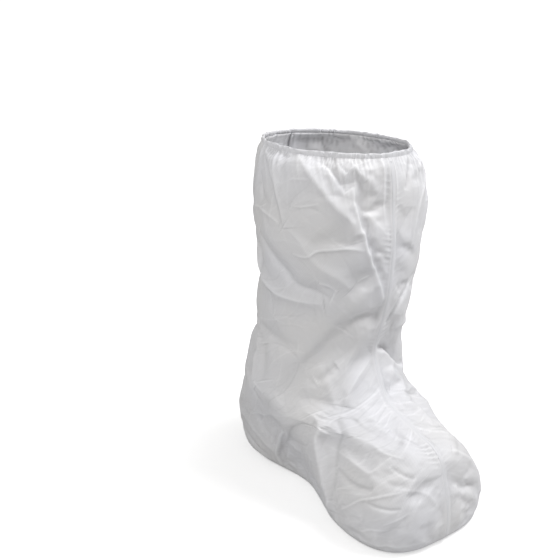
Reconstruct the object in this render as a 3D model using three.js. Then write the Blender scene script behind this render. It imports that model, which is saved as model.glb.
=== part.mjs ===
// A disposable boot cover: two side panels of thin bonded cloth, sewn together along one centre
// seam and gathered at the mouth by an elastic hem. It stands on its flat sole in a boot's form.
//
// Millimetres. +Z is up, the floor is z = 0 and the toe points towards -Y, so the wearer's right
// is -X. x = 0 is the plane of the centre seam. The pieces are worked out round the leg's axis,
// and the finished cover is moved so that its origin is the middle of its footprint.

import * as THREE from 'three';

// Overall sizes
const coverHeight = 445;        // floor to the top of the hem, above the leg's axis
const hemSlope = 9;             // how much the hem rises from the front of the leg to its back
const footHeight = 200;         // floor to where the leg begins
const footLength = 370;         // heel to toe
const footWidth = 200;          // across the ball of the foot
const legDepth = 214;           // front to back at the widest part of the leg
const legWidth = 210;           // side to side at the widest part of the leg

// Cloth, seam and hem
const wall = 1.2;               // thickness of the cloth
const clearance = 0.3;          // gap between pieces that meet
const seamThickness = 1.6;      // both cloth edges and the thread, across the seam
const seamAllowance = 6;        // how far the seam's edge reaches into the cover
const seamProud = 0.7;          // how far the seam stands out of the cloth
const hemHeight = 5.5;          // height of the casing that holds the elastic
const hemThickness = 3.2;       // thickness of that casing

// Folds and gathers
const foldDepth = 12;           // depth that the folds' shares are taken of
const foldWidth = 24;           // width that the folds' shares are taken of
const gatherDepth = 3;          // depth of the gathers under the hem
const gatherRise = 9;           // height over which the gathers swell out under the hem
const gatherLength = 78;        // how far down the leg the gathers reach
const gathersPerPanel = 6.5;    // gathers round one panel
const hemRuffle = 0.9;          // depth of the ruffles in the hem
const rufflesRoundHem = 24;

// Flat and quiet places
const soleRise = 16;            // height over which folds fade out above the flat sole
const seamQuiet = 0.08;         // share of a panel's width over which folds fade out at the seams

// Fineness of the meshes
const columns = 24;             // steps round one panel, from the back seam to the front seam
const stepsPerSection = 2;      // steps between two rows of a section table
const outlineSteps = 60;        // steps in which an outline is drawn before it is divided evenly
const foldSteps = 24;           // steps in which a fold's line is drawn
const stepsPerRuffle = 4;       // steps round one ruffle of the hem

// Sections of the leg, from the hem down to the ankle.
// level is a share of the leg's height. front and back are reaches from the leg's axis, as shares
// of its depth. rear, middle, fore and toe are half widths at the back quarter, half way, the front
// quarter and the front end, as shares of its width. blunt is 1 for an ellipse and less for an
// outline with blunter ends.
const legSections = [
  { level: 1.00, front: 0.44, back: 0.43, rear: 0.43, middle: 0.44, fore: 0.44, toe: 0.44, blunt: 0.94 },
  { level: 0.95, front: 0.47, back: 0.45, rear: 0.46, middle: 0.49, fore: 0.52, toe: 0.52, blunt: 0.92 },
  { level: 0.86, front: 0.49, back: 0.46, rear: 0.47, middle: 0.50, fore: 0.55, toe: 0.55, blunt: 0.90 },
  { level: 0.75, front: 0.50, back: 0.47, rear: 0.48, middle: 0.51, fore: 0.56, toe: 0.56, blunt: 0.88 },
  { level: 0.60, front: 0.52, back: 0.47, rear: 0.47, middle: 0.50, fore: 0.53, toe: 0.53, blunt: 0.90 },
  { level: 0.45, front: 0.52, back: 0.45, rear: 0.44, middle: 0.47, fore: 0.49, toe: 0.49, blunt: 0.90 },
  { level: 0.30, front: 0.51, back: 0.44, rear: 0.43, middle: 0.46, fore: 0.45, toe: 0.45, blunt: 0.90 },
  { level: 0.14, front: 0.47, back: 0.44, rear: 0.43, middle: 0.45, fore: 0.45, toe: 0.45, blunt: 0.84 },
];

// Sections of the foot, from the ankle over the instep and down to the edge of the sole.
// The columns are those above, as shares of the foot's height, length and width.
const footSections = [
  { level: 1.00, front: 0.25, back: 0.260, rear: 0.45, middle: 0.47, fore: 0.48, toe: 0.48, blunt: 0.78 },
  { level: 0.90, front: 0.26, back: 0.270, rear: 0.46, middle: 0.49, fore: 0.48, toe: 0.48, blunt: 0.76 },
  { level: 0.79, front: 0.29, back: 0.285, rear: 0.47, middle: 0.51, fore: 0.46, toe: 0.45, blunt: 0.74 },
  { level: 0.71, front: 0.32, back: 0.295, rear: 0.48, middle: 0.53, fore: 0.45, toe: 0.41, blunt: 0.72 },
  { level: 0.66, front: 0.36, back: 0.303, rear: 0.48, middle: 0.54, fore: 0.46, toe: 0.40, blunt: 0.70 },
  { level: 0.59, front: 0.48, back: 0.315, rear: 0.495, middle: 0.53, fore: 0.45, toe: 0.36, blunt: 0.66 },
  { level: 0.56, front: 0.54, back: 0.322, rear: 0.500, middle: 0.52, fore: 0.42, toe: 0.36, blunt: 0.64 },
  { level: 0.50, front: 0.58, back: 0.338, rear: 0.495, middle: 0.50, fore: 0.41, toe: 0.40, blunt: 0.62 },
  { level: 0.40, front: 0.60, back: 0.358, rear: 0.48, middle: 0.45, fore: 0.46, toe: 0.52, blunt: 0.60 },
  { level: 0.28, front: 0.62, back: 0.370, rear: 0.47, middle: 0.40, fore: 0.50, toe: 0.60, blunt: 0.58 },
  { level: 0.16, front: 0.63, back: 0.374, rear: 0.45, middle: 0.35, fore: 0.50, toe: 0.60, blunt: 0.58 },
  { level: 0.07, front: 0.63, back: 0.372, rear: 0.42, middle: 0.32, fore: 0.48, toe: 0.60, blunt: 0.58 },
  { level: 0.02, front: 0.62, back: 0.356, rear: 0.37, middle: 0.29, fore: 0.46, toe: 0.58, blunt: 0.58 },
  { level: 0.00, front: 0.60, back: 0.335, rear: 0.33, middle: 0.26, fore: 0.42, toe: 0.54, blunt: 0.58 },
];

// Rings of the sole, from its edge to the centre seam.
// inset is how far a ring has come from the edge to the seam, and shorten how much shorter it is.
const soleRings = [
  { inset: 0.33, shorten: 0.08 },
  { inset: 0.67, shorten: 0.16 },
  { inset: 1.00, shorten: 0.24 },
];

// Folds of the cloth. line is three points [around, down]: around is 0 at the back seam and 1 at
// the front seam, and down is 0 under the hem and 1 at the edge of the sole. depth is a share of
// foldDepth, raised above 0 and sunk below it, and width a share of foldWidth.
const rightFolds = [
  { name: 'ridge from the mouth to the shin', line: [[0.82, 0.05], [0.87, 0.16], [0.97, 0.31]], depth: 0.45, width: 0.8 },
  { name: 'valley in front of it', line: [[0.88, 0.07], [0.92, 0.18], [0.98, 0.29]], depth: -0.35, width: 0.7 },
  { name: 'long slanting valley', line: [[0.60, 0.05], [0.71, 0.12], [0.84, 0.19]], depth: -0.60, width: 0.9 },
  { name: 'slanting ridge above it', line: [[0.68, 0.05], [0.76, 0.11], [0.88, 0.17]], depth: 0.35, width: 0.8 },
  { name: 'valley behind the calf', line: [[0.33, 0.05], [0.52, 0.10], [0.63, 0.18]], depth: -0.55, width: 0.9 },
  { name: 'dent at the back of the leg', line: [[0.30, 0.19], [0.40, 0.24], [0.46, 0.32]], depth: -0.60, width: 1.3 },
  { name: 'curved ridge over the calf', line: [[0.34, 0.20], [0.50, 0.25], [0.74, 0.29]], depth: 0.45, width: 0.9 },
  { name: 'pocket above the ankle', line: [[0.76, 0.32], [0.88, 0.32], [0.97, 0.33]], depth: -0.95, width: 1.2 },
  { name: 'dent behind the ankle', line: [[0.08, 0.35], [0.22, 0.39], [0.38, 0.42]], depth: -0.45, width: 1.1 },
  { name: 'ridge down the side of the foot', line: [[0.73, 0.61], [0.68, 0.73], [0.65, 0.86]], depth: 0.30, width: 0.9 },
  { name: 'pinch in the arch', line: [[0.66, 0.62], [0.46, 0.79], [0.41, 0.93]], depth: -1.00, width: 1.1 },
  { name: 'ridge behind the pinch', line: [[0.43, 0.78], [0.38, 0.86], [0.36, 0.93]], depth: 0.40, width: 0.8 },
  { name: 'crease under the heel', line: [[0.08, 0.86], [0.20, 0.85], [0.34, 0.87]], depth: -0.35, width: 0.8 },
  { name: 'crease across the toe', line: [[0.70, 0.87], [0.78, 0.81], [0.88, 0.77]], depth: 0.25, width: 0.8 },
];
const leftFolds = [
  { name: 'slanting valley beside the shin', line: [[0.62, 0.05], [0.72, 0.13], [0.84, 0.20]], depth: -0.45, width: 0.9 },
  { name: 'ridge in front of it', line: [[0.74, 0.05], [0.82, 0.13], [0.90, 0.21]], depth: 0.30, width: 0.8 },
  { name: 'valley down the calf', line: [[0.28, 0.05], [0.36, 0.15], [0.46, 0.23]], depth: -0.45, width: 1.0 },
  { name: 'ridge round the calf', line: [[0.22, 0.25], [0.45, 0.27], [0.66, 0.25]], depth: 0.35, width: 0.9 },
  { name: 'flap over the ankle', line: [[0.80, 0.29], [0.90, 0.32], [0.97, 0.34]], depth: 0.45, width: 0.9 },
  { name: 'valley under the flap', line: [[0.77, 0.46], [0.89, 0.42], [0.98, 0.385]], depth: -0.80, width: 0.9 },
  { name: 'dent behind the ankle', line: [[0.08, 0.36], [0.22, 0.39], [0.38, 0.41]], depth: -0.45, width: 1.1 },
  { name: 'pinch at the side of the foot', line: [[0.58, 0.68], [0.46, 0.80], [0.43, 0.92]], depth: -0.70, width: 1.2 },
  { name: 'crease under the heel', line: [[0.08, 0.86], [0.20, 0.85], [0.34, 0.87]], depth: -0.35, width: 0.8 },
  { name: 'tuck beside the toe', line: [[0.96, 0.79], [0.91, 0.81], [0.85, 0.84]], depth: -0.40, width: 0.8 },
];

const edge = seamThickness / 2 + clearance;     // where a panel ends beside the seam
const topLevel = coverHeight - hemHeight - clearance;

// A value on the smooth curve through a list of evenly spaced values, at a place between
// 0 and the last index.
function smoothAt(values, place) {
  const last = values.length - 1;
  const index = Math.min(Math.floor(place), last - 1);
  const part = place - index;
  const before = values[Math.max(index - 1, 0)];
  const start = values[index];
  const end = values[index + 1];
  const after = values[Math.min(index + 2, last)];
  const startSlope = (end - before) / 2;
  const endSlope = (after - start) / 2;
  const square = part * part;
  const cube = square * part;
  return (2 * cube - 3 * square + 1) * start + (cube - 2 * square + part) * startSlope
    + (3 * square - 2 * cube) * end + (cube - square) * endSlope;
}

function realSection(row, base, height, length, width) {
  return {
    z: base + row.level * height,
    front: row.front * length,
    back: row.back * length,
    rear: row.rear * width,
    middle: row.middle * width,
    fore: row.fore * width,
    toe: row.toe * width,
    blunt: row.blunt,
  };
}

// All sections at their real sizes, from the hem down to the edge of the sole.
function realSections() {
  const legHeight = topLevel - footHeight;
  const leg = legSections.map((row) => realSection(row, footHeight, legHeight, legDepth, legWidth));
  const foot = footSections.map((row) => realSection(row, 0, footHeight, footLength, footWidth));
  return [...leg, ...foot];
}

// One half of a section's outline, from the back seam to the front seam, in even steps.
function halfOutline(section) {
  const widths = [section.rear, section.rear, section.middle, section.fore, section.toe];
  const points = [];
  for (let step = 0; step <= outlineSteps; step += 1) {
    const turn = Math.PI * step / outlineSteps;
    const share = (1 - Math.cos(turn)) / 2;
    const halfWidth = smoothAt(widths, share * (widths.length - 1)) * Math.sin(turn) ** section.blunt;
    points.push(new THREE.Vector2(halfWidth, section.back - (section.back + section.front) * share));
  }
  return new THREE.SplineCurve(points).getSpacedPoints(columns);
}

// The smooth form of half the cover, as rows of points from under the hem to the middle of the sole.
function smoothRows() {
  const sections = realSections();
  const rowCount = (sections.length - 1) * stepsPerSection;
  const rows = [];
  for (let step = 0; step <= rowCount; step += 1) {
    const section = {};
    for (const size of Object.keys(sections[0])) {
      section[size] = smoothAt(sections.map((one) => one[size]), step / stepsPerSection);
    }
    rows.push(halfOutline(section).map((point) => new THREE.Vector3(edge + point.x, point.y, section.z)));
  }
  const soleEdge = rows[rowCount];
  const soleMiddle = (soleEdge[0].y + soleEdge[columns].y) / 2;
  for (const ring of soleRings) {
    rows.push(soleEdge.map((point) => new THREE.Vector3(
      edge + (point.x - edge) * (1 - ring.inset),
      soleMiddle + (point.y - soleMiddle) * (1 - ring.shorten),
      0,
    )));
  }
  return rows;
}

const wallRows = (legSections.length + footSections.length - 1) * stepsPerSection;
const plainRows = smoothRows();

// The outward direction at each point of a half cover. It stays in the plane of the seam along the
// seam's edges, level along the top, and straight down under the sole.
function outwardDirections(rows) {
  const lastRow = rows.length - 1;
  return rows.map((row, down) => row.map((point, around) => {
    const along = row[Math.min(around + 1, columns)].clone().sub(row[Math.max(around - 1, 0)]);
    const below = rows[Math.min(down + 1, lastRow)][around].clone().sub(rows[Math.max(down - 1, 0)][around]);
    const outward = along.cross(below);
    if (down === 0) outward.z = 0;
    if (down > wallRows) outward.set(0, 0, -1);
    if (around === 0 || around === columns) outward.x = 0;
    return outward.normalize();
  }));
}

// A point of the smooth form at shares of the way around and down.
function pointAt(around, down) {
  const column = around * columns;
  const row = down * wallRows;
  const left = Math.min(Math.floor(column), columns - 1);
  const top = Math.min(Math.floor(row), wallRows - 1);
  const upper = plainRows[top][left].clone().lerp(plainRows[top][left + 1], column - left);
  const lower = plainRows[top + 1][left].clone().lerp(plainRows[top + 1][left + 1], column - left);
  return upper.lerp(lower, row - top);
}

// A fold as a drawn line on the smooth form, with its real depth and width.
function drawnFold(fold) {
  const ends = fold.line.map(([around, down]) => pointAt(around, down));
  return {
    points: new THREE.CatmullRomCurve3(ends).getPoints(foldSteps),
    depth: fold.depth * foldDepth,
    width: fold.width * foldWidth,
  };
}

// How far a fold moves the cloth at a point: most on its line, and nothing at its ends.
function foldMove(fold, point) {
  let nearest = Infinity;
  let place = 0;
  fold.points.forEach((linePoint, index) => {
    const distance = linePoint.distanceTo(point);
    if (distance < nearest) {
      nearest = distance;
      place = index / foldSteps;
    }
  });
  return fold.depth * Math.exp(-((nearest / fold.width) ** 2) * 3) * Math.sin(Math.PI * place) ** 0.5;
}

// How far the gathers move the cloth: they start under the hem and fade out down the leg.
function gatherMove(around, drop) {
  const start = THREE.MathUtils.smoothstep(drop, -gatherRise, gatherRise * 2);
  const fade = 1 - THREE.MathUtils.smoothstep(drop, 0, gatherLength);
  return gatherDepth * start * fade * Math.cos(Math.PI * 2 * gathersPerPanel * around);
}

// The outer face of one panel with its folds. side is -1 for the right panel and 1 for the left.
function panelRows(folds, side) {
  const drawn = folds.map(drawnFold);
  const outward = outwardDirections(plainRows);
  const rows = plainRows.map((row, down) => row.map((point, around) => {
    const share = around / columns;
    const atSeam = Math.min(share, 1 - share);
    const quiet = THREE.MathUtils.smoothstep(atSeam, 0, seamQuiet)
      * THREE.MathUtils.smoothstep(point.z, 0, soleRise);
    const folded = drawn.reduce((sum, fold) => sum + foldMove(fold, point), 0);
    const gathered = gatherMove(share, topLevel - point.z);
    return point.clone().addScaledVector(outward[down][around], (folded + gathered) * quiet);
  }));
  return rows.map((row) => row.map((point) => point.setX(point.x * side)));
}

// The hem slopes, and the leg below it follows less and less down to the ankle.
function withSlope(point) {
  const share = THREE.MathUtils.clamp((point.z - footHeight) / (topLevel - footHeight), 0, 1);
  return point.clone().setZ(point.z + hemSlope * share * point.y / legDepth);
}

function geometryFrom(points, faces) {
  const geometry = new THREE.BufferGeometry();
  const positions = points.map(withSlope).flatMap((point) => point.toArray());
  geometry.setAttribute('position', new THREE.Float32BufferAttribute(positions, 3));
  geometry.setIndex(faces);
  geometry.computeVertexNormals();
  return geometry;
}

// A closed thin shell: the outer face, the same face moved inwards by the wall, and its edges.
function shellGeometry(outer, side) {
  const mirrored = outer.map((row) => row.map((point) => point.clone().setX(point.x * side)));
  const outward = outwardDirections(mirrored);
  const inner = mirrored.map((row, down) => row.map((point, around) => {
    const moved = point.clone().addScaledVector(outward[down][around], -wall);
    return moved.setX(moved.x * side);
  }));
  const rowLength = columns + 1;
  const innerStart = rowLength * outer.length;
  const faces = [];
  const quad = (a, b, c, d) => (side > 0 ? faces.push(a, c, b, a, d, c) : faces.push(a, b, c, a, c, d));
  for (let row = 0; row < outer.length - 1; row += 1) {
    for (let column = 0; column < columns; column += 1) {
      const a = row * rowLength + column;
      const b = a + rowLength;
      quad(a, b, b + 1, a + 1);
      quad(innerStart + a, innerStart + a + 1, innerStart + b + 1, innerStart + b);
    }
  }
  const rim = rimOfGrid(outer.length, rowLength);
  rim.forEach((here, index) => {
    const next = rim[(index + 1) % rim.length];
    quad(here, innerStart + here, innerStart + next, next);
  });
  return geometryFrom([...outer.flat(), ...inner.flat()], faces);
}

// The indices round the outside of a grid: down its first column and back up its last.
function rimOfGrid(rowCount, rowLength) {
  const rim = [];
  for (let row = 0; row < rowCount; row += 1) rim.push(row * rowLength);
  for (let column = 1; column < rowLength; column += 1) rim.push((rowCount - 1) * rowLength + column);
  for (let row = rowCount - 2; row >= 0; row -= 1) rim.push(row * rowLength + rowLength - 1);
  for (let column = rowLength - 2; column > 0; column -= 1) rim.push(column);
  return rim;
}

// The line of the centre seam: down the back, along the sole and up over the toe to the front.
function seamLine() {
  const lastRow = plainRows.length - 1;
  const down = plainRows.map((row) => row[0]);
  const along = plainRows[lastRow].slice(1, columns);
  const up = plainRows.map((row) => row[columns]).reverse();
  return [...down, ...along, ...up].map((point) => new THREE.Vector3(0, point.y, point.z));
}

// The seam is a strip that stands across the cloth, a little proud outside and deeper inside.
function seamGeometry() {
  const line = seamLine();
  const last = line.length - 1;
  const half = seamThickness / 2;
  const points = line.flatMap((point, index) => {
    const tangent = line[Math.min(index + 1, last)].clone().sub(line[Math.max(index - 1, 0)]).normalize();
    const outward = new THREE.Vector3(0, -tangent.z, tangent.y);
    if (index === 0 || index === last) outward.setZ(0).normalize();
    const proud = seamProud * THREE.MathUtils.smoothstep(point.z, 0, soleRise);
    const outside = point.clone().addScaledVector(outward, proud);
    const inside = point.clone().addScaledVector(outward, -wall - seamAllowance);
    return [
      outside.clone().setX(-half),
      outside.clone().setX(half),
      inside.clone().setX(half),
      inside.clone().setX(-half),
    ];
  });
  return geometryFrom(points, ringFaces(line.length, 4, false));
}

// The faces of a bar whose sections have the same number of corners. A bar that isn't closed into
// a ring gets a flat end at both sides.
function ringFaces(sectionCount, corners, closed) {
  const faces = [];
  const spans = closed ? sectionCount : sectionCount - 1;
  for (let section = 0; section < spans; section += 1) {
    const next = (section + 1) % sectionCount;
    for (let corner = 0; corner < corners; corner += 1) {
      const beside = (corner + 1) % corners;
      const a = section * corners + corner;
      const b = section * corners + beside;
      const c = next * corners + beside;
      const d = next * corners + corner;
      faces.push(a, b, c, a, c, d);
    }
  }
  if (!closed) {
    const end = (sectionCount - 1) * corners;
    for (let corner = 1; corner < corners - 1; corner += 1) {
      faces.push(0, corner + 1, corner);
      faces.push(end, end + corner, end + corner + 1);
    }
  }
  return faces;
}

// The corners of the hem's section: out is a share of half its thickness, and up of its height.
const hemCorners = [
  { out: 0.55, up: 0 },
  { out: 1, up: 0.28 },
  { out: 1, up: 0.78 },
  { out: 0.35, up: 1 },
  { out: -0.35, up: 1 },
  { out: -1, up: 0.78 },
  { out: -1, up: 0.28 },
  { out: -0.55, up: 0 },
];

// The hem is a ruffled ring that stands on the top edges of both panels and the seam.
function hemGeometry() {
  const top = plainRows[0];
  const half = top.map((point) => new THREE.Vector3(point.x - edge, point.y, 0));
  const otherHalf = half.slice(1, columns).reverse().map((point) => point.clone().setX(-point.x));
  const loop = new THREE.CatmullRomCurve3([...half, ...otherHalf], true);
  const steps = rufflesRoundHem * stepsPerRuffle;
  const points = [];
  for (let step = 0; step < steps; step += 1) {
    const share = step / steps;
    const centre = loop.getPointAt(share);
    const tangent = loop.getTangentAt(share);
    const outward = new THREE.Vector3(-tangent.y, tangent.x, 0);
    const ruffle = hemRuffle * Math.sin(Math.PI * 2 * rufflesRoundHem * share) - wall / 2;
    for (const corner of hemCorners) {
      points.push(centre.clone()
        .addScaledVector(outward, ruffle + corner.out * hemThickness / 2)
        .setZ(topLevel + clearance + corner.up * hemHeight));
    }
  }
  return geometryFrom(points, ringFaces(steps, hemCorners.length, true));
}

const cloth = { color: 0xe4e5e8, roughness: 0.62, metalness: 0 };
const seamCloth = { color: 0xdfe0e3, roughness: 0.7, metalness: 0 };

function namedMesh(name, geometry, finish) {
  const mesh = new THREE.Mesh(geometry, new THREE.MeshStandardMaterial(finish));
  mesh.name = name;
  return mesh;
}

function footReach(side) {
  return Math.max(...footSections.map((row) => row[side])) * footLength;
}

const bootCover = new THREE.Group();
bootCover.add(namedMesh('right_panel', shellGeometry(panelRows(rightFolds, -1), -1), cloth));
bootCover.add(namedMesh('left_panel', shellGeometry(panelRows(leftFolds, 1), 1), cloth));
bootCover.add(namedMesh('centre_seam', seamGeometry(), seamCloth));
bootCover.add(namedMesh('top_hem', hemGeometry(), cloth));
bootCover.position.y = (footReach('front') - footReach('back')) / 2;

export default bootCover;
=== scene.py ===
import math

import bpy
import numpy as np
from mathutils import Matrix, Vector


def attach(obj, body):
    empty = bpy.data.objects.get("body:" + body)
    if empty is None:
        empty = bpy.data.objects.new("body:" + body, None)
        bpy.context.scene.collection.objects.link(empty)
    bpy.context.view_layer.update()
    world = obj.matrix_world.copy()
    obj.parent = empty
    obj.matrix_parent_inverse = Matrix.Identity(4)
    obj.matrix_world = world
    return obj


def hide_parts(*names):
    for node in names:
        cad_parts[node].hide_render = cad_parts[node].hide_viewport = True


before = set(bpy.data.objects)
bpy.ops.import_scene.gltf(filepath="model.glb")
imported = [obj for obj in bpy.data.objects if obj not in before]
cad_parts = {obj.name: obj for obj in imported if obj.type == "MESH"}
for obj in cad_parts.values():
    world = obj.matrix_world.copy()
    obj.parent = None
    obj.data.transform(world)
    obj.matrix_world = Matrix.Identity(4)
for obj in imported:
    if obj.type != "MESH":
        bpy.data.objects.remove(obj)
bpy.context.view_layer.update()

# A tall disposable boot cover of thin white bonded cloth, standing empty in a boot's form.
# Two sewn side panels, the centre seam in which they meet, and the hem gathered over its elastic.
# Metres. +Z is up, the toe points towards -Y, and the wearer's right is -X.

# The cover's sizes, the same as in its solids
COVER_HEIGHT = 0.445        # floor to the top of the hem, above the leg's axis
HEM_SLOPE = 0.009           # how much the hem rises from the front of the leg to its back
FOOT_HEIGHT = 0.200
FOOT_LENGTH = 0.370
FOOT_WIDTH = 0.200
LEG_DEPTH = 0.214
LEG_WIDTH = 0.210
SEAM_THICKNESS = 0.0016
CLEARANCE = 0.0003
HEM_HEIGHT = 0.0055
SOLE_RISE = 0.016           # height over which folds fade out above the flat sole
RIGHT = -1                  # side of the right panel, towards -X
LEFT = 1
MM_PER_M = 1000

# Cloth
CLOTH_WALL = 0.0006         # thickness of the cloth that shows
LEAST_LENGTH = 1e-9         # divided by instead of a length of 0
COLUMNS = 196               # steps round a panel, from the back seam to the front seam
WALL_ROWS = 360             # rows down a panel, from under the hem to the edge of the sole
SOLE_ROWS = 20
INNER_STEP = 2              # the inner face has one point for this many of the outer face
OUTLINE_STEPS = 240
PLACE_STEPS = 8             # steps for each section, and round a half, that space the rows evenly
FOLD_STEPS = 60
SOLE_DOWN = 1.2             # how far down a panel the middle of the sole is, where its edge is at 1

EDGE = SEAM_THICKNESS / 2 + CLEARANCE
TOP_LEVEL = COVER_HEIGHT - HEM_HEIGHT - CLEARANCE

# Sections of the leg, from the hem down to the ankle, and of the foot, down to the floor. level is
# a share of the leg's or the foot's height, front and back are reaches from the leg's axis as shares
# of the leg's depth or the foot's length, and rear, middle, fore and toe are half widths from back
# to front as shares of its width. blunt is 1 for an ellipse, less for blunter ends.
REACHES = ("front", "back")
HALF_WIDTHS = ("rear", "middle", "fore", "toe")
SECTION_COLUMNS = ("level", *REACHES, *HALF_WIDTHS, "blunt")
LEG_SECTIONS = (
    (1.00, 0.44, 0.43, 0.43, 0.44, 0.44, 0.44, 0.94),
    (0.95, 0.47, 0.45, 0.46, 0.49, 0.52, 0.52, 0.92),
    (0.86, 0.49, 0.46, 0.47, 0.50, 0.55, 0.55, 0.90),
    (0.75, 0.50, 0.47, 0.48, 0.51, 0.56, 0.56, 0.88),
    (0.60, 0.52, 0.47, 0.47, 0.50, 0.53, 0.53, 0.90),
    (0.45, 0.52, 0.45, 0.44, 0.47, 0.49, 0.49, 0.90),
    (0.30, 0.51, 0.44, 0.43, 0.46, 0.45, 0.45, 0.90),
    (0.14, 0.47, 0.44, 0.43, 0.45, 0.45, 0.45, 0.84),
)
FOOT_SECTIONS = (
    (1.00, 0.25, 0.260, 0.45, 0.47, 0.48, 0.48, 0.78),
    (0.90, 0.26, 0.270, 0.46, 0.49, 0.48, 0.48, 0.76),
    (0.79, 0.29, 0.285, 0.47, 0.51, 0.46, 0.45, 0.74),
    (0.71, 0.32, 0.295, 0.48, 0.53, 0.45, 0.41, 0.72),
    (0.66, 0.36, 0.303, 0.48, 0.54, 0.46, 0.40, 0.70),
    (0.59, 0.48, 0.315, 0.495, 0.53, 0.45, 0.36, 0.66),
    (0.56, 0.54, 0.322, 0.500, 0.52, 0.42, 0.36, 0.64),
    (0.50, 0.58, 0.338, 0.495, 0.50, 0.41, 0.40, 0.62),
    (0.40, 0.60, 0.358, 0.48, 0.45, 0.46, 0.52, 0.60),
    (0.28, 0.62, 0.370, 0.47, 0.40, 0.50, 0.60, 0.58),
    (0.16, 0.63, 0.374, 0.45, 0.35, 0.50, 0.60, 0.58),
    (0.07, 0.63, 0.372, 0.42, 0.32, 0.48, 0.60, 0.58),
    (0.02, 0.62, 0.356, 0.37, 0.29, 0.46, 0.58, 0.58),
    (0.00, 0.60, 0.335, 0.33, 0.26, 0.42, 0.54, 0.58),
)
FRONT_COLUMN = SECTION_COLUMNS.index("front")
BACK_COLUMN = SECTION_COLUMNS.index("back")
LEG_AXIS_Y = (
    max(row[FRONT_COLUMN] for row in FOOT_SECTIONS) - max(row[BACK_COLUMN] for row in FOOT_SECTIONS)
) * FOOT_LENGTH / 2
SOLE_SHORTEN = 0.24         # how much shorter the middle of the sole is than its edge

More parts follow.
